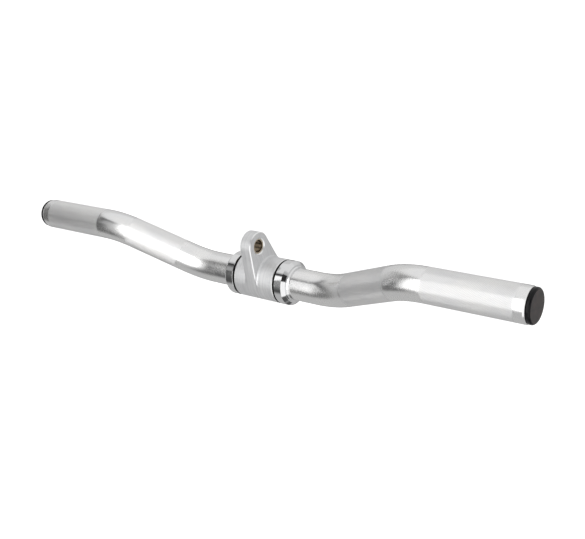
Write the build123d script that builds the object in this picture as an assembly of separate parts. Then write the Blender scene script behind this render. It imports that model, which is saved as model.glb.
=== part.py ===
"""Revolving curl bar for a cable machine: a bent grip tube that turns in a lugged hub.

Millimetres. The origin is the centre of the hanger eye, X runs along the bar, +Z points from
the bar up through the hanger lug, and -Y is the front, towards which the bends lean at rest.
"""

from build123d import *
import math
import os

# Grip tube, measured along its centreline from the hub's middle to the right end
TUBE_OD = 32.0
TUBE_WALL = 3.0
CENTRE_TO_CORNER = 85.0
CORNER_TO_CORNER = 105.0
CORNER_TO_END = 114.8
BEND_ANGLE = 26.0
BEND_RADIUS = 85.0
REST_TILT = 17.0
TUBE_END_BEVEL_LENGTH = 1.6
TUBE_END_BEVEL_DEPTH = 0.6

# Hanger hub
EYE_TO_BAR = 40.0
HUB_MIDDLE_X = 1.6
HUB_OD = 44.5
HUB_LENGTH = 49.0
HUB_EDGE_BREAK = 0.6
LUG_THICKNESS = 13.0
LUG_TOP_RADIUS = 14.4
LUG_EDGE_BREAK = 0.8
LUG_FOOT_FILLET = 1.6

# Eye bush, pressed into the lug and set back from both of its faces
EYE_BUSH_OD = 15.0
EYE_BUSH_ID = 12.3
EYE_BUSH_LENGTH = 10.8
EYE_BUSH_EDGE_BREAK = 0.3
EYE_COUNTERSINK = 0.9

# Flanged journal bushes, one in each end of the hub
JOURNAL_WALL = 2.4
JOURNAL_LENGTH = 16.0
FLANGE_OD = 44.1
FLANGE_THICKNESS = 2.1
RUNNING_CLEARANCE = 0.05
SEAT_CLEARANCE = 0.02
HUB_RELIEF = 1.0

# Collars that hold the hub in place along the tube
COLLAR_OD = 44.5
COLLAR_LENGTH = 14.1
COLLAR_BEVEL = 3.2
COLLAR_NECK_OD = 36.0
COLLAR_NECK_LENGTH = 2.4
COLLAR_NECK_BEVEL_LENGTH = 1.5
COLLAR_NECK_BEVEL_DEPTH = 0.8
COLLAR_EDGE_BREAK = 0.2
END_FLOAT = 0.1

# Grub screws, two in each collar on the side away from the bends
SCREW_DIAMETER = 5.0
SCREW_LENGTH = 5.0
SCREW_POINT_BREAK = 0.6
SCREW_ANGLES = (-45.0, 45.0)
SCREW_INSET = 4.6
SOCKET_ACROSS_FLATS = 2.5
SOCKET_DEPTH = 2.4
THREAD_CLEARANCE = 0.05

# Moulded end caps
CAP_FLANGE_OD = 30.8
CAP_FLANGE_THICKNESS = 4.3
CAP_EDGE_RADIUS = 2.0
CAP_BACK_RADIUS = 1.4
CAP_SHANK_LENGTH = 15.0
CAP_SHANK_WALL = 1.8
CAP_RIB_COUNT = 3
CAP_RIB_WIDTH = 1.2
CAP_RIB_HEIGHT = 0.6

# Worked-out sizes
TUBE_R = TUBE_OD / 2
BORE_R = TUBE_R - TUBE_WALL
HUB_R = HUB_OD / 2
COLLAR_R = COLLAR_OD / 2
CORNER_RISE = CORNER_TO_CORNER * math.sin(math.radians(BEND_ANGLE))
OUTER_CORNER_X = CENTRE_TO_CORNER + CORNER_TO_CORNER * math.cos(math.radians(BEND_ANGLE))
TUBE_END_X = OUTER_CORNER_X + CORNER_TO_END
JOURNAL_BORE_R = TUBE_R + RUNNING_CLEARANCE
JOURNAL_R = JOURNAL_BORE_R + JOURNAL_WALL
COLLAR_START_X = HUB_LENGTH / 2 + FLANGE_THICKNESS + END_FLOAT

# Places: the hub's bar axis, and the tube's own frame, whose +Z is the side that the bends rise to.
# The left-hand pieces mirror the right-hand ones about the hub's middle plane
BAR_AXIS = Pos(HUB_MIDDLE_X, 0, -EYE_TO_BAR)
BAR_PLACE = BAR_AXIS * Rot(REST_TILT, 0, 0)
HUB_MIDDLE = Plane.YZ.offset(HUB_MIDDLE_X)


def turned(*outline):
    """A solid of revolution about X, from its (x, radius) outline."""
    face = make_face(Polyline(*outline, close=True))
    return revolve(Plane.XZ * face, Axis.X)


def tube_path():
    """The tube's centreline, from the left end to the right end."""
    corners = [
        (-TUBE_END_X, 0, CORNER_RISE),
        (-OUTER_CORNER_X, 0, CORNER_RISE),
        (-CENTRE_TO_CORNER, 0, 0),
        (CENTRE_TO_CORNER, 0, 0),
        (OUTER_CORNER_X, 0, CORNER_RISE),
        (TUBE_END_X, 0, CORNER_RISE),
    ]
    return FilletPolyline(*corners, radius=BEND_RADIUS)


def bar_tube():
    """The grip tube, bent twice on each side, with a turned bevel at each end."""
    section = Plane((-TUBE_END_X, 0, CORNER_RISE), z_dir=(1, 0, 0))
    ring = section * (Circle(TUBE_R) - Circle(BORE_R))
    tube = sweep(ring, path=tube_path())
    bevel_start = TUBE_END_X - TUBE_END_BEVEL_LENGTH
    cutter = Pos(0, 0, CORNER_RISE) * turned(
        (bevel_start, TUBE_R),
        (TUBE_END_X, TUBE_R - TUBE_END_BEVEL_DEPTH),
        (TUBE_END_X + 1, TUBE_R - TUBE_END_BEVEL_DEPTH),
        (TUBE_END_X + 1, TUBE_R + 1),
        (bevel_start, TUBE_R + 1),
    )
    return BAR_PLACE * (tube - cutter - mirror(cutter, Plane.YZ))


def lug_outline(half_width):
    """The lug's side view, tangent to the hub's barrel, extruded to both sides of its middle."""
    slope = math.asin((HUB_R - LUG_TOP_RADIUS) / EYE_TO_BAR)
    across, up = math.cos(slope), math.sin(slope)
    top_back = (LUG_TOP_RADIUS * across, LUG_TOP_RADIUS * up)
    top_front = (-LUG_TOP_RADIUS * across, LUG_TOP_RADIUS * up)
    foot_back = (HUB_R * across, HUB_R * up - EYE_TO_BAR)
    foot_front = (-HUB_R * across, HUB_R * up - EYE_TO_BAR)
    edges = [
        ThreePointArc(top_back, (0, LUG_TOP_RADIUS), top_front),
        Polyline(top_front, foot_front, (0, -EYE_TO_BAR), foot_back, top_back),
    ]
    return extrude(Plane.YZ * make_face(edges), amount=half_width, both=True)


def lug_foot():
    """The flare where the lug's two faces run out into the barrel."""
    half = LUG_THICKNESS / 2
    out = half + LUG_FOOT_FILLET
    top = HUB_R + LUG_FOOT_FILLET
    bow = LUG_FOOT_FILLET * (1 - math.sqrt(0.5))
    inner = HUB_R - 1
    edges = [
        Polyline((half, top), (-half, top)),
        ThreePointArc((-half, top), (-half - bow, HUB_R + bow), (-out, HUB_R)),
        Polyline((-out, HUB_R), (-out, inner), (out, inner), (out, HUB_R)),
        ThreePointArc((out, HUB_R), (half + bow, HUB_R + bow), (half, top)),
    ]
    flare = revolve(Plane.XZ * make_face(edges), Axis.X)
    return (Pos(0, 0, -EYE_TO_BAR) * flare) & lug_outline(out)


def hanger_hub():
    """The barrel that turns on the tube, and the lug that it hangs from."""
    end = HUB_LENGTH / 2
    barrel = BAR_AXIS * turned(
        (-end, 0),
        (-end, HUB_R - HUB_EDGE_BREAK),
        (HUB_EDGE_BREAK - end, HUB_R),
        (end - HUB_EDGE_BREAK, HUB_R),
        (end, HUB_R - HUB_EDGE_BREAK),
        (end, 0),
    )
    lug = lug_outline(LUG_THICKNESS / 2)
    rims = [edge for face in (lug.faces().sort_by(Axis.X)[0], lug.faces().sort_by(Axis.X)[-1])
            for edge in face.edges()]
    lug = chamfer(rims, LUG_EDGE_BREAK)
    seat_r = JOURNAL_R + SEAT_CLEARANCE
    step_x = end - JOURNAL_LENGTH - SEAT_CLEARANCE
    relief_r = TUBE_R + HUB_RELIEF
    bore = BAR_AXIS * turned(
        (-end - 1, 0),
        (-end - 1, seat_r),
        (-step_x, seat_r),
        (-step_x, relief_r),
        (step_x, relief_r),
        (step_x, seat_r),
        (end + 1, seat_r),
        (end + 1, 0),
    )
    face = LUG_THICKNESS / 2
    eye_r = EYE_BUSH_OD / 2 + SEAT_CLEARANCE
    eye = turned(
        (-face, 0),
        (-face, eye_r + EYE_COUNTERSINK),
        (EYE_COUNTERSINK - face, eye_r),
        (face - EYE_COUNTERSINK, eye_r),
        (face, eye_r + EYE_COUNTERSINK),
        (face, 0),
    )
    return barrel + lug + lug_foot() - bore - eye


def eye_bush():
    """The plain bronze sleeve that the hanging pin or carabiner runs in."""
    end = EYE_BUSH_LENGTH / 2
    outer, inner = EYE_BUSH_OD / 2, EYE_BUSH_ID / 2
    edge = EYE_BUSH_EDGE_BREAK
    return turned(
        (-end, inner + edge),
        (-end, outer - edge),
        (edge - end, outer),
        (end - edge, outer),
        (end, outer - edge),
        (end, inner + edge),
        (end - edge, inner),
        (edge - end, inner),
    )


def journal_bush():
    """The right-hand flanged bush, between the hub's barrel and the tube."""
    end = HUB_LENGTH / 2
    flange_r = FLANGE_OD / 2
    return BAR_AXIS * turned(
        (end - JOURNAL_LENGTH, JOURNAL_BORE_R),
        (end + FLANGE_THICKNESS, JOURNAL_BORE_R),
        (end + FLANGE_THICKNESS, flange_r),
        (end, flange_r),
        (end, JOURNAL_R),
        (end - JOURNAL_LENGTH, JOURNAL_R),
    )


def screw_places():
    """The axes of the right-hand collar's grub screws, pointing outwards from the tube."""
    x = COLLAR_START_X + SCREW_INSET
    return [BAR_PLACE * Pos(x, 0, 0) * Rot(180 + angle, 0, 0) for angle in SCREW_ANGLES]


def collar():
    """The right-hand collar, bevelled down to a short neck on the side away from the hub."""
    start = COLLAR_START_X
    end = start + COLLAR_LENGTH
    step = end - COLLAR_NECK_LENGTH
    neck_r = COLLAR_NECK_OD / 2
    ring = BAR_PLACE * turned(
        (start, JOURNAL_BORE_R),
        (start, COLLAR_R - COLLAR_EDGE_BREAK),
        (start + COLLAR_EDGE_BREAK, COLLAR_R),
        (step - COLLAR_BEVEL, COLLAR_R),
        (step, COLLAR_R - COLLAR_BEVEL),
        (step, neck_r),
        (end - COLLAR_NECK_BEVEL_LENGTH, neck_r),
        (end, neck_r - COLLAR_NECK_BEVEL_DEPTH),
        (end, JOURNAL_BORE_R),
    )
    for place in screw_places():
        ring -= place * Pos(0, 0, COLLAR_R) * Cylinder(SCREW_DIAMETER / 2, COLLAR_R)
    return ring


def grub_screw():
    """A hexagon-socket grub screw along +Z, with its point on the tube's surface."""
    radius = SCREW_DIAMETER / 2 - THREAD_CLEARANCE
    bottom = (Align.CENTER, Align.CENTER, Align.MIN)
    body = Pos(0, 0, TUBE_R) * Cylinder(radius, SCREW_LENGTH, align=bottom)
    point = body.edges().group_by(Axis.Z)[0]
    body = chamfer(point, SCREW_POINT_BREAK)
    socket_r = SOCKET_ACROSS_FLATS / math.sqrt(3)
    head = Plane.XY.offset(TUBE_R + SCREW_LENGTH)
    return body - extrude(head * RegularPolygon(socket_r, 6), amount=-SOCKET_DEPTH)


def end_cap():
    """The right-hand plug: a flange rounded on both sides, on a hollow shank with gripping ribs."""
    rib_r = BORE_R - SEAT_CLEARANCE
    shank_r = rib_r - CAP_RIB_HEIGHT
    hollow_r = shank_r - CAP_SHANK_WALL
    flange_r = CAP_FLANGE_OD / 2
    face_x = CAP_FLANGE_THICKNESS
    edge, back = CAP_EDGE_RADIUS, CAP_BACK_RADIUS
    edge_bow = edge * (1 - math.sqrt(0.5))
    back_bow = back * (1 - math.sqrt(0.5))
    outline = [
        ThreePointArc((0, flange_r - back), (back_bow, flange_r - back_bow), (back, flange_r)),
        Polyline((back, flange_r), (face_x - edge, flange_r)),
        ThreePointArc(
            (face_x - edge, flange_r),
            (face_x - edge_bow, flange_r - edge_bow),
            (face_x, flange_r - edge),
        ),
        Polyline(
            (face_x, flange_r - edge),
            (face_x, 0),
            (0, 0),
            (0, hollow_r),
            (-CAP_SHANK_LENGTH, hollow_r),
            (-CAP_SHANK_LENGTH, shank_r),
            (0, shank_r),
            (0, flange_r - back),
        ),
    ]
    plug = revolve(Plane.XZ * make_face(outline), Axis.X)
    pitch = CAP_SHANK_LENGTH / (CAP_RIB_COUNT + 1)
    for number in range(1, CAP_RIB_COUNT + 1):
        x = -number * pitch
        plug += turned(
            (x - CAP_RIB_WIDTH, shank_r - 1),
            (x - CAP_RIB_WIDTH, shank_r),
            (x, rib_r),
            (x + CAP_RIB_WIDTH / 2, rib_r),
            (x + CAP_RIB_WIDTH / 2, shank_r - 1),
        )
    return BAR_PLACE * Pos(TUBE_END_X, 0, CORNER_RISE) * plug


def all_parts():
    """Every sub-part by name. The left-hand pieces mirror the right-hand ones."""
    parts = {"hanger_hub": hanger_hub(), "eye_bush": eye_bush(), "bar_tube": bar_tube()}
    paired = {"journal_bush": journal_bush(), "collar": collar(), "end_cap": end_cap()}
    for number, place in enumerate(screw_places(), start=1):
        paired[f"collar_screw_{number}"] = place * grub_screw()
    for name, solid in paired.items():
        parts[f"{name}_right"] = solid
        parts[f"{name}_left"] = mirror(solid, HUB_MIDDLE)
    return parts


os.makedirs("parts", exist_ok=True)
for name, solid in all_parts().items():
    solid.label = name
    export_step(solid, f"parts/{name}.step")
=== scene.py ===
"""Studio picture of a revolving curl bar: a bent, knurled grip tube that turns in a lugged hub.

Metres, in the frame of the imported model: X along the bar, +Z up through the hanger lug, -Y front.
"""

import math

import bpy
from mathutils import Matrix, Vector

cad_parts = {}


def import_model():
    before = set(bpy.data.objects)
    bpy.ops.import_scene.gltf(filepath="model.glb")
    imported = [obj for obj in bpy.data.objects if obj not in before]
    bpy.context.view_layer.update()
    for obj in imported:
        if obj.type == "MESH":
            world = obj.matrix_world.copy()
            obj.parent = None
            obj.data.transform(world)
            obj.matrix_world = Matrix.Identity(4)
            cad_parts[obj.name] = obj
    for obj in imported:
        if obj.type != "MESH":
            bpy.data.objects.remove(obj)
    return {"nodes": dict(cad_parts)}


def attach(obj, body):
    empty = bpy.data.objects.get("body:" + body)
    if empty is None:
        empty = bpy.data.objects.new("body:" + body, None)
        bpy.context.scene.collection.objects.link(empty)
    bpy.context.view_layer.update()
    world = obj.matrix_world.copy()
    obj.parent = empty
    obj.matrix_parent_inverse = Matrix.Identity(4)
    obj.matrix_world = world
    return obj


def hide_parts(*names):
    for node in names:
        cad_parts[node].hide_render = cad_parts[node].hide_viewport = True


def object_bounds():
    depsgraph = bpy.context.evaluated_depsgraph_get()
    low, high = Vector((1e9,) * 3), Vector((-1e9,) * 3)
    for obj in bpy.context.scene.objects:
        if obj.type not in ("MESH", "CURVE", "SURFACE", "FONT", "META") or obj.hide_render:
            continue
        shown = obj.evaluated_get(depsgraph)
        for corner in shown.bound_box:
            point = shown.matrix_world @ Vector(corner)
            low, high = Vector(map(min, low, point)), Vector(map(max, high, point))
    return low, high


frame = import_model()
CAD_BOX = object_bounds()
MM = 0.001

# Grip tube, with its corners where the straight centrelines would meet. The bevel on each end is its
# length and its depth.
TUBE_R = 16 * MM
BORE_R = 13 * MM
CENTRE_TO_CORNER = 85 * MM
CORNER_TO_CORNER = 105 * MM
CORNER_TO_END = 114.8 * MM
BEND_ANGLE = math.radians(26)
BEND_RADIUS = 85 * MM
REST_TILT = math.radians(17)
END_BEVEL = (1.6 * MM, 0.6 * MM)
EYE_TO_BAR = 40 * MM
HUB_MIDDLE_X = 1.6 * MM

# Hanger hub: the bushed eye's radius, half the lug's thickness, half the barrel's length, and how near
# its ends its broken edges are
EYE_R = 6.15 * MM
LUG_FACE = 6.5 * MM
HUB_END = 24.5 * MM
HUB_EDGE = 0.75 * MM

# Diamond knurling: two zones on each side, cut below the tube's surface. The land is the part of each
# diamond, measured across it, that stays level with the surface.
INNER_KNURL = (111 * MM, 174 * MM)
OUTER_KNURL = (210 * MM, 294 * MM)
DIAMONDS_AROUND = 66
DIAMOND_ROW = 1.32 * MM
KNURL_DEPTH = 0.12 * MM
KNURL_LAND = 0.65

# Longest faces along the tube, on its outside and in its bore
WALL_STEP = 3 * MM
BORE_STEP = 12 * MM
SHARP_ANGLE = math.radians(15)

# The distance in which one finish becomes another
EDGE_SOFT = 0.1 * MM

# Camera: where it looks from, and what its optical axis passes through
VIEW_AZIMUTH = math.radians(45.25)
VIEW_ELEVATION = math.radians(34.17)
VIEW_ROLL = math.radians(-18.16)
VIEW_DISTANCE = 0.9002
VIEW_AIM = Vector((0.0315, 0.0090, -0.0307))
VIEW_FAR = 50.0
LENS = 55.83
SENSOR = 36

TANGENT_LENGTH = BEND_RADIUS * math.tan(BEND_ANGLE / 2)
ARC_LENGTH = BEND_RADIUS * BEND_ANGLE
FIRST_BEND = CENTRE_TO_CORNER - TANGENT_LENGTH
SECOND_BEND = FIRST_BEND + ARC_LENGTH + CORNER_TO_CORNER - 2 * TANGENT_LENGTH
TUBE_END = SECOND_BEND + ARC_LENGTH + CORNER_TO_END - TANGENT_LENGTH
HUB_PLACE = Matrix.Translation((HUB_MIDDLE_X, 0, -EYE_TO_BAR))
BAR_PLACE = HUB_PLACE @ Matrix.Rotation(REST_TILT, 4, "X")


def centreline(s):
    """The tube's centre and direction at a distance s from the middle, in the tube's own frame."""
    reach = abs(s)
    x = z = angle = 0.0
    for length, turn in (
        (FIRST_BEND, 0),
        (ARC_LENGTH, 1),
        (SECOND_BEND - FIRST_BEND - ARC_LENGTH, 0),
        (ARC_LENGTH, -1),
        (TUBE_END, 0),
    ):
        step = min(reach, length)
        if turn:
            swept = step / BEND_RADIUS
            later = angle + turn * swept
            x += turn * BEND_RADIUS * (math.sin(later) - math.sin(angle))
            z -= turn * BEND_RADIUS * (math.cos(later) - math.cos(angle))
            angle = later
        else:
            x += step * math.cos(angle)
            z += step * math.sin(angle)
        reach -= step
        if reach <= 0:
            break
    side = -1 if s < 0 else 1
    return Vector((side * x, 0, z)), side * angle


def mesh_object(name, points, faces, place, smooth):
    """An object from points and faces; smooth says which faces are shaded smooth."""
    mesh = bpy.data.meshes.new(name)
    mesh.from_pydata([place @ Vector(p) for p in points], [], faces)
    mesh.polygons.foreach_set("use_smooth", smooth)
    mesh.validate()
    thing = bpy.data.objects.new(name, mesh)
    bpy.context.scene.collection.objects.link(thing)
    return thing


class TubeMesh:
    """Points and faces of the grip tube, with each point's place on the tube before it was bent."""

    def __init__(self):
        self.points, self.straight, self.faces, self.smooth = [], [], [], []
        self.columns = 2 * DIAMONDS_AROUND

    def point(self, s, column, radius):
        centre, angle = centreline(s)
        turn = 2 * math.pi * column / self.columns
        across, up = math.cos(turn), math.sin(turn)
        out = Vector((-math.sin(angle) * up, across, math.cos(angle) * up))
        self.points.append(centre + radius * out)
        self.straight.append((s, radius * across, radius * up))
        return len(self.points) - 1

    def ring(self, s, radius):
        return [self.point(s, column, radius) for column in range(self.columns)]

    def face(self, corners, smooth):
        self.faces.append(corners)
        self.smooth.append(smooth)

    def join(self, ring, following):
        for column in range(self.columns):
            after = (column + 1) % self.columns
            self.face((ring[column], ring[after], following[after], following[column]), True)

    def plain(self, ring, start, end, radius):
        """Carries the wall on from a ring at start to a new ring at end, and returns that ring."""
        steps = max(1, math.ceil(abs(end - start) / WALL_STEP))
        for step in range(1, steps + 1):
            following = self.ring(start + (end - start) * step / steps, radius)
            self.join(ring, following)
            ring = following
        return ring

    def knurl(self, ring, start, end):
        """Carries the wall on through crossed V grooves that leave flat diamonds between them."""
        rows = 2 * round((end - start) / DIAMOND_ROW / 2)
        pitch = (end - start) / rows
        last = self.ring(end, TUBE_R)
        grid = [ring]
        for row in range(1, rows):
            s = start + row * pitch
            grid.append([
                self.point(s, column, TUBE_R - KNURL_DEPTH) if (row + column) % 2 == 0 else None
                for column in range(self.columns)
            ])
        grid.append(last)
        for row in range(rows + 1):
            for column in range(1 - row % 2, self.columns, 2):
                before, after = (column - 1) % self.columns, (column + 1) % self.columns
                if row == 0:
                    self.half_diamond(grid[0], before, column, after, grid[1][column], False)
                elif row == rows:
                    self.half_diamond(last, before, column, after, grid[rows - 1][column], True)
                else:
                    above, below = grid[row - 1][column], grid[row + 1][column]
                    corners = (grid[row][before], above, grid[row][after], below)
                    self.diamond(start + row * pitch, column, pitch, corners)
        return last

    def half_diamond(self, ring, before, column, after, tip, flip):
        """Two faces that close a zone's end, from its edge down to a groove crossing."""
        for a, b in ((before, column), (column, after)):
            corners = (ring[a], ring[b], tip)
            self.face(corners[::-1] if flip else corners, False)

    def diamond(self, s, column, pitch, corners):
        """One raised land and the four groove flanks round it."""
        land = [
            self.point(s, column - KNURL_LAND, TUBE_R),
            self.point(s - KNURL_LAND * pitch, column, TUBE_R),
            self.point(s, column + KNURL_LAND, TUBE_R),
            self.point(s + KNURL_LAND * pitch, column, TUBE_R),
        ]
        self.face(tuple(land), False)
        for side in range(4):
            other = (side + 1) % 4
            self.face((corners[side], corners[other], land[other], land[side]), False)


def grip_tube():
    """The whole bent tube, knurled, with its bore and bevelled ends."""
    tube = TubeMesh()
    bevel, drop = END_BEVEL
    ring = first = tube.ring(-TUBE_END, TUBE_R - drop)
    following = tube.ring(bevel - TUBE_END, TUBE_R)
    tube.join(ring, following)
    ring, at = following, bevel - TUBE_END
    zones = [(-end, -start) for start, end in (OUTER_KNURL, INNER_KNURL)] + [INNER_KNURL, OUTER_KNURL]
    for start, end in zones:
        ring = tube.plain(ring, at, start, TUBE_R)
        ring = tube.knurl(ring, start, end)
        at = end
    ring = tube.plain(ring, at, TUBE_END - bevel, TUBE_R)
    following = tube.ring(TUBE_END, TUBE_R - drop)
    tube.join(ring, following)
    inner = tube.ring(TUBE_END, BORE_R)
    tube.join(following, inner)
    count = math.ceil(2 * TUBE_END / BORE_STEP)
    for step in range(1, count + 1):
        ahead = tube.ring(TUBE_END - 2 * TUBE_END * step / count, BORE_R)
        tube.join(inner, ahead)
        inner = ahead
    tube.join(inner, first)
    thing = mesh_object("grip_tube", tube.points, tube.faces, BAR_PLACE, tube.smooth)
    places = thing.data.attributes.new("straight", "FLOAT_VECTOR", "POINT")
    places.data.foreach_set("vector", [value for place in tube.straight for value in place])
    thing.data.set_sharp_from_angle(angle=SHARP_ANGLE)
    return thing


# ---- materials ----


class Nodes:
    """A node tree being built: nodes are added with their inputs as values or sockets."""

    def __init__(self, tree):
        self.tree = tree

    def add(self, kind, inputs, **settings):
        node = self.tree.nodes.new(kind)
        for key, value in settings.items():
            setattr(node, key, value)
        for key, value in inputs.items():
            self.feed(node.inputs[key], value)
        return node

    def feed(self, socket, value):
        if isinstance(value, bpy.types.NodeSocket):
            self.tree.links.new(value, socket)
        else:
            socket.default_value = value

    def maths(self, operation, a, b=0.0):
        return self.add("ShaderNodeMath", {0: a, 1: b}, operation=operation).outputs[0]

    def ramp(self, value, low, high, at_low=0.0, at_high=1.0):
        """A smooth change from at_low, where value is below low, to at_high, where it is above high."""
        inputs = {"Value": value, "From Min": low, "From Max": high, "To Min": at_low, "To Max": at_high}
        return self.add("ShaderNodeMapRange", inputs, interpolation_type="SMOOTHSTEP").outputs["Result"]

    def above(self, value, edge, soft):
        """0 where value is below an edge and 1 above it, with a smooth change as wide as soft."""
        return self.ramp(value, edge - soft / 2, edge + soft / 2)

    def below(self, value, edge, soft):
        return self.ramp(value, edge - soft / 2, edge + soft / 2, 1.0, 0.0)

    def band(self, value, low, high, soft):
        """1 where value is between low and high and 0 outside them, with soft edges."""
        return self.maths("MULTIPLY", self.above(value, low, soft), self.below(value, high, soft))

    def mix(self, factor, a, b):
        return self.add("ShaderNodeMix", {0: factor, 2: a, 3: b}, data_type="FLOAT").outputs[0]

    def split(self, vector):
        return self.add("ShaderNodeSeparateXYZ", {0: vector}).outputs


class Finish(Nodes):
    """A material's nodes, with constants for its shader given as keywords."""

    def __init__(self, name, **constants):
        self.made = bpy.data.materials.new(name)
        self.made.use_nodes = True
        super().__init__(self.made.node_tree)
        self.shader = self.tree.nodes["Principled BSDF"]
        for key, value in constants.items():
            self.shader.inputs[key.replace("_", " ")].default_value = value

    def set(self, name, value):
        self.feed(self.shader.inputs[name], value)

    def mix_colour(self, factor, a, b):
        a, b = (c if isinstance(c, bpy.types.NodeSocket) else (*c, 1) for c in (a, b))
        return self.add("ShaderNodeMix", {0: factor, 6: a, 7: b}, data_type="RGBA").outputs[2]

    def place(self, attribute=None):
        """The surface's own coordinates in metres, from a mesh attribute or the object."""
        if attribute:
            return self.add("ShaderNodeAttribute", {}, attribute_name=attribute).outputs["Vector"]
        return self.add("ShaderNodeTexCoord", {}).outputs["Object"]

    def off_axis(self, place):
        """The distance of a place from the X axis."""
        y, z = self.split(place)[1:]
        squares = self.maths("ADD", self.maths("MULTIPLY", y, y), self.maths("MULTIPLY", z, z))
        return self.maths("SQRT", squares)

    def facing_ends(self):
        """1 where the surface faces along X, as an end face does, and 0 where it faces across it."""
        normal = self.add("ShaderNodeTexCoord", {}).outputs["Normal"]
        return self.maths("ABSOLUTE", self.split(normal)[0])

    def noise(self, place, scale, detail=4.0, roughness=0.55, stretch=(1, 1, 1)):
        """Noise of about one feature in 1 / scale metres, squeezed along each axis by stretch."""
        grown = self.add("ShaderNodeVectorMath", {0: place, 1: stretch}, operation="MULTIPLY").outputs[0]
        inputs = {"Vector": grown, "Scale": scale, "Detail": detail, "Roughness": roughness}
        return self.add("ShaderNodeTexNoise", inputs).outputs[0]

    def bump(self, layers):
        """Adds bump layers, each a height from 0 to 1 and its depth in metres, with one over the other."""
        normal = None
        for height, depth in layers:
            inputs = {"Height": height, "Distance": depth, "Strength": 1.0}
            if normal:
                inputs["Normal"] = normal
            normal = self.add("ShaderNodeBump", inputs).outputs["Normal"]
        self.set("Normal", normal)


def brushed_tube():
    """Tumbled aluminium tube, spun with an abrasive pad between its knurled grips."""
    f = Finish("tube_finish", Metallic=1.0)
    place = f.place("straight")
    reach = f.maths("ABSOLUTE", f.split(place)[0])
    inner = f.band(reach, *INNER_KNURL, 2 * EDGE_SOFT)
    outer = f.band(reach, *OUTER_KNURL, 2 * EDGE_SOFT)
    knurled = f.maths("ADD", inner, outer)
    groove = f.ramp(f.off_axis(place), TUBE_R - 0.9 * KNURL_DEPTH, TUBE_R - 0.1 * KNURL_DEPTH, 1.0, 0.0)
    rings = f.noise(place, 900, 6, 0.7, (3.0, 0.05, 0.05))
    cloud = f.noise(place, 55, 5, 0.6, (0.6, 1, 1))
    grain = f.noise(place, 2600, 2)
    rough = f.mix(knurled, f.mix(rings, 0.15, 0.31), 0.31)
    f.set("Roughness", f.maths("ADD", rough, f.ramp(cloud, 0.35, 0.65, -0.03, 0.05)))
    body = f.mix_colour(f.ramp(cloud, 0.3, 0.7), (0.86, 0.86, 0.865), (0.915, 0.91, 0.9))
    # Painted shade: the base colour darkens towards the bottoms of the knurl's grooves
    groove_painted_shade = f.maths("MULTIPLY", groove, f.maths("MULTIPLY", knurled, 0.3))
    f.set("Base Color", f.mix_colour(groove_painted_shade, body, (0.42, 0.41, 0.4)))
    plain = f.maths("SUBTRACT", 1.0, knurled)
    f.bump([(f.maths("MULTIPLY", rings, plain), 0.01 * MM), (grain, 0.004 * MM)])
    return f.made


def satin_hub():
    """Machined aluminium with a satin finish, turned on the barrel and left bright on its broken edges."""
    f = Finish("hub_finish", Metallic=1.0)
    place = f.place()
    x = f.split(place)[0]
    facing = f.facing_ends()
    slanted = f.band(facing, 0.55, 0.85, 0.1)
    on_lug = f.below(f.maths("ABSOLUTE", x), LUG_FACE + EDGE_SOFT, EDGE_SOFT)
    along = f.maths("ABSOLUTE", f.maths("SUBTRACT", x, HUB_MIDDLE_X))
    on_end = f.above(along, HUB_END - HUB_EDGE, EDGE_SOFT)
    edge = f.maths("MULTIPLY", slanted, f.maths("MAXIMUM", on_lug, on_end))
    turned = f.noise(place, 420, 6, 0.75, (3.0, 0.03, 0.03))
    milled = f.noise(place, 500, 6, 0.75, (2.5, 2.5, 0.03))
    flat = f.ramp(facing, 0.9, 0.98)
    marks = f.mix(flat, turned, milled)
    cloud = f.noise(place, 70, 5, 0.6)
    satin = f.maths("ADD", f.ramp(marks, 0.3, 0.7, 0.44, 0.62), f.ramp(cloud, 0.3, 0.7, -0.03, 0.04))
    f.set("Roughness", f.mix(edge, satin, 0.34))
    body = f.mix_colour(f.ramp(marks, 0.3, 0.7), (0.68, 0.685, 0.695), (0.86, 0.86, 0.86))
    f.set("Base Color", f.mix_colour(edge, body, (0.98, 0.98, 0.98)))
    f.bump([(marks, 0.05 * MM), (f.noise(place, 3000, 2), 0.003 * MM)])
    return f.made


def chrome():
    """Polished plate over fine turning marks."""
    f = Finish("collar_finish", Metallic=1.0)
    place = f.place()
    turned = f.noise(place, 1200, 4, 0.6, (3.0, 0.03, 0.03))
    cloud = f.noise(place, 90, 5, 0.6)
    f.set("Base Color", f.mix_colour(cloud, (0.76, 0.765, 0.775), (0.82, 0.82, 0.82)))
    haze = f.ramp(cloud, 0.45, 0.8, 0.0, 0.05)
    f.set("Roughness", f.maths("ADD", f.ramp(turned, 0.3, 0.75, 0.03, 0.12), haze))
    f.bump([(turned, 0.0015 * MM)])
    return f.made


def oiled_bronze():
    """Sintered bronze, glossy in its bore, where painted shade darkens it, and in its own tone at its
    rims.
    """
    f = Finish("bush_finish", Metallic=1.0)
    place = f.place()
    rim = f.ramp(f.off_axis(place), EYE_R + 0.1 * MM, EYE_R + 0.4 * MM)
    cloud = f.noise(place, 260, 5, 0.65)
    pores = f.noise(place, 2200, 3, 0.7)
    worn = f.mix_colour(cloud, (0.55, 0.47, 0.36), (0.7, 0.63, 0.52))
    # Painted shade: the bore's colour is far darker than the rims' bronze
    bore_painted_shade = f.mix_colour(cloud, (0.1, 0.075, 0.05), (0.3, 0.24, 0.17))
    f.set("Base Color", f.mix_colour(rim, bore_painted_shade, worn))
    f.set("Roughness", f.mix(rim, f.ramp(pores, 0.3, 0.7, 0.1, 0.22), 0.4))
    f.bump([(pores, 0.01 * MM)])
    return f.made


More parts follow.
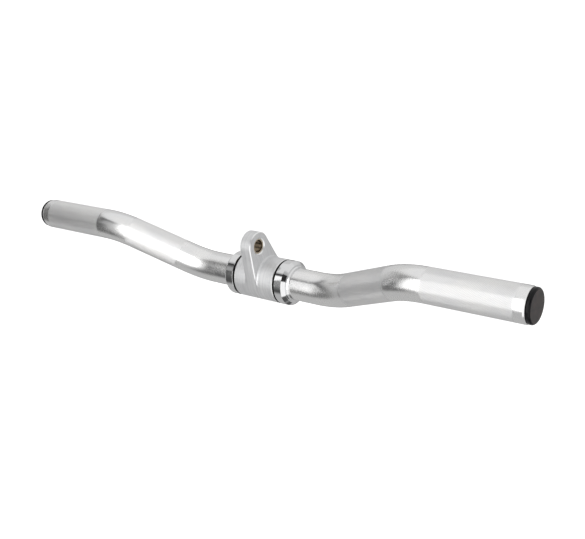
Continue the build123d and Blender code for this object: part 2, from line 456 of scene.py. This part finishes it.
def black_polymer():
    """Self-lubricating bearing plastic."""
    f = Finish("journal_finish", Specular_IOR_Level=0.12)
    place = f.place()
    turned = f.noise(place, 900, 4, 0.6, (3.0, 0.05, 0.05))
    f.set("Base Color", f.mix_colour(turned, (0.002, 0.002, 0.0022), (0.006, 0.006, 0.006)))
    f.set("Roughness", f.ramp(turned, 0.3, 0.7, 0.45, 0.65))
    f.bump([(turned, 0.006 * MM)])
    return f.made


def black_oxide():
    """Blackened steel grub screw, worn grey in patches."""
    f = Finish("screw_finish", Metallic=1.0)
    place = f.place()
    cloud = f.noise(place, 700, 5, 0.7)
    f.set("Base Color", f.mix_colour(f.ramp(cloud, 0.5, 0.75), (0.035, 0.035, 0.038), (0.25, 0.25, 0.25)))
    f.set("Roughness", f.ramp(cloud, 0.3, 0.75, 0.3, 0.5))
    f.bump([(cloud, 0.02 * MM)])
    return f.made


def moulded_plastic():
    """Injection-moulded black plastic: glossy on the rim, scuffed and dusty on its flat faces."""
    f = Finish("cap_finish", Specular_IOR_Level=0.2)
    place = f.place()
    face = f.ramp(f.facing_ends(), 0.97, 0.995)
    grain = f.noise(place, 2400, 3, 0.6)
    cloud = f.noise(place, 150, 5, 0.65)
    scuffs = f.noise(place, 380, 6, 0.7, (1.0, 0.35, 1.6))
    dust = f.ramp(f.mix(0.5, cloud, scuffs), 0.42, 0.6)
    dusty = f.mix_colour(dust, (0.014, 0.0115, 0.011), (0.062, 0.05, 0.048))
    f.set("Base Color", f.mix_colour(face, (0.004, 0.004, 0.005), dusty))
    f.set("Roughness", f.mix(face, f.ramp(grain, 0.3, 0.7, 0.08, 0.16), f.mix(dust, 0.28, 0.5)))
    f.bump([(grain, 0.004 * MM), (cloud, 0.03 * MM)])
    return f.made


def set_material(thing, made):
    """Puts one material in all of an object's slots, or in a new slot if it has none."""
    if not thing.material_slots:
        thing.data.materials.append(made)
    for held in thing.material_slots:
        held.material = made


# ---- studio ----

# The studio's own upright: against it, the lug leans forwards by this angle
STUDIO_TILT = math.radians(23.05)
STUDIO_UP = Vector((0, math.sin(STUDIO_TILT), math.cos(STUDIO_TILT)))
STUDIO_FRONT = Vector((0, -math.cos(STUDIO_TILT), math.sin(STUDIO_TILT)))

# The world's light: an even level, with cards over it, each over the ones before it.
# name: azimuth range and elevation range in degrees, edge softness in degrees, brightness
BASE_LEVEL = 0.5
ALL_ROUND = (-180, 180)
ZENITH = 90
CARDS = {
    "back_wall": (-180, -85, -10, ZENITH, 30, 0.65),
    "back_wall_right": (85, 180, -10, ZENITH, 30, 0.72),
    "far_side": (-180, -108, -36, 10, 12, 0.3),
    "left_flag": (-65, -36, -38, 38, 14, 0.09),
    "window_low": (-47, -30, 12, 34, 6, 0.4),
    "side_window": (0, 33, -55, 60, 6, 1.15),
    "overhead": (*ALL_ROUND, 43, ZENITH, 6, 0.83),
    "gap": (-95, -10, 35, 39, 2, 0.02),
    "near_table": (35, 75, -50, 9, 4, 1.15),
    "dark_card": (50, 80, 10, 34, 3, 0.03),
    "table_edge": (62, 180, -72, -50, 4, 0.1),
}

# Lights in front of the hub: left, right, bottom and top edges, distance, and radiance
SOFTBOXES = {
    "key_light": (-0.36, 0.30, -0.26, 0.60, 0.6, 1.15),
    "window_light": (-0.198, -0.15, -0.06, 0.205, 0.25, 0.85),
}

# The floor reaches this far each way, and lies this far below the bar
FLOOR_REACH = 12.0
FLOOR_DROP = 0.9


def world():
    """Pure white behind the object, and the soft cards all round it for its light and reflections."""
    made = bpy.data.worlds.new("studio")
    bpy.context.scene.world = made
    made.use_nodes = True
    made.node_tree.nodes.clear()
    n = Nodes(made.node_tree)
    direction = n.add("ShaderNodeTexCoord", {}).outputs["Generated"]

    def along(axis):
        inputs = {0: direction, 1: axis}
        return n.add("ShaderNodeVectorMath", inputs, operation="DOT_PRODUCT").outputs["Value"]

    azimuth = n.maths("DEGREES", n.maths("ARCTAN2", n.split(direction)[0], along(STUDIO_FRONT)))
    elevation = n.maths("DEGREES", n.maths("ARCSINE", along(STUDIO_UP)))
    level = BASE_LEVEL
    for left, right, low, high, soft, brightness in CARDS.values():
        if high == ZENITH:
            mask = n.above(elevation, low, soft)
        else:
            mask = n.band(elevation, low, high, soft)
        if (left, right) != ALL_ROUND:
            mask = n.maths("MULTIPLY", mask, n.band(azimuth, left, right, soft))
        level = n.mix(mask, level, brightness)
    white = (1, 1, 1, 1)
    lit = n.add("ShaderNodeBackground", {"Color": white, "Strength": level}).outputs[0]
    seen = n.add("ShaderNodeBackground", {"Color": white, "Strength": 1.0}).outputs[0]
    camera_ray = n.add("ShaderNodeLightPath", {}).outputs["Is Camera Ray"]
    mixed = n.add("ShaderNodeMixShader", {0: camera_ray, 1: lit, 2: seen}).outputs[0]
    n.add("ShaderNodeOutputWorld", {"Surface": mixed})


def floor():
    """A pale floor that lights the bar from below and doesn't show in its reflections."""
    mesh = bpy.data.meshes.new("floor")
    z = CAD_BOX[0][2] - FLOOR_DROP
    corners = [(x * FLOOR_REACH, y * FLOOR_REACH, z) for x, y in ((-1, -1), (1, -1), (1, 1), (-1, 1))]
    mesh.from_pydata(corners, [], [(0, 1, 2, 3)])
    thing = bpy.data.objects.new("floor", mesh)
    bpy.context.scene.collection.objects.link(thing)
    glow = {"Emission_Color": (1, 1, 1, 1), "Emission_Strength": 0.55}
    f = Finish("pale_floor", Roughness=0.9, Specular_IOR_Level=0.0, **glow)
    f.set("Base Color", f.mix_colour(f.noise(f.place(), 3), (0.9, 0.9, 0.9), (0.92, 0.92, 0.92)))
    mesh.materials.append(f.made)
    thing.visible_glossy = False


def softbox(name, left, right, low, high, forward, radiance):
    """A flat white light facing the bar, placed in the studio's own axes."""
    light = bpy.data.lights.new(name, "AREA")
    light.shape = "RECTANGLE"
    light.size, light.size_y = right - left, high - low
    light.energy = radiance * math.pi * light.size * light.size_y
    thing = bpy.data.objects.new(name, light)
    bpy.context.scene.collection.objects.link(thing)
    axes = Matrix((STUDIO_UP.cross(STUDIO_FRONT), STUDIO_UP, STUDIO_FRONT)).transposed()
    middle = Vector(((left + right) / 2, 0, 0)) + STUDIO_FRONT * forward + STUDIO_UP * (low + high) / 2
    thing.matrix_world = Matrix.LocRotScale(HUB_PLACE.translation + middle, axes, None)
    thing.visible_camera = False


def camera():
    """Looks down at the bar from its right front, rolled about the line of sight."""
    data = bpy.data.cameras.new("camera")
    data.lens, data.sensor_width = LENS, SENSOR
    data.clip_end = VIEW_FAR
    thing = bpy.data.objects.new("camera", data)
    bpy.context.scene.collection.objects.link(thing)
    bpy.context.scene.camera = thing
    level = math.cos(VIEW_ELEVATION)
    across, forward = math.sin(VIEW_AZIMUTH), math.cos(VIEW_AZIMUTH)
    back = Vector((level * across, -level * forward, math.sin(VIEW_ELEVATION)))
    rotation = back.to_track_quat("Z", "Y").to_matrix() @ Matrix.Rotation(VIEW_ROLL, 3, "Z")
    thing.matrix_world = Matrix.LocRotScale(VIEW_AIM + VIEW_DISTANCE * back, rotation, None)


tube = grip_tube()
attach(tube, "bar")
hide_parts("bar_tube")
set_material(tube, brushed_tube())
finishes = {
    "hanger_hub": satin_hub(),
    "eye_bush": oiled_bronze(),
    "journal_bush": black_polymer(),
    "collar_screw": black_oxide(),
    "collar": chrome(),
    "end_cap": moulded_plastic(),
}
for name, node in frame["nodes"].items():
    start = next((start for start in finishes if name.startswith(start)), None)
    if start:
        set_material(node, finishes[start])
world()
floor()
for name, place in SOFTBOXES.items():
    softbox(name, *place)
camera()
bpy.context.scene.view_settings.view_transform = "Standard"
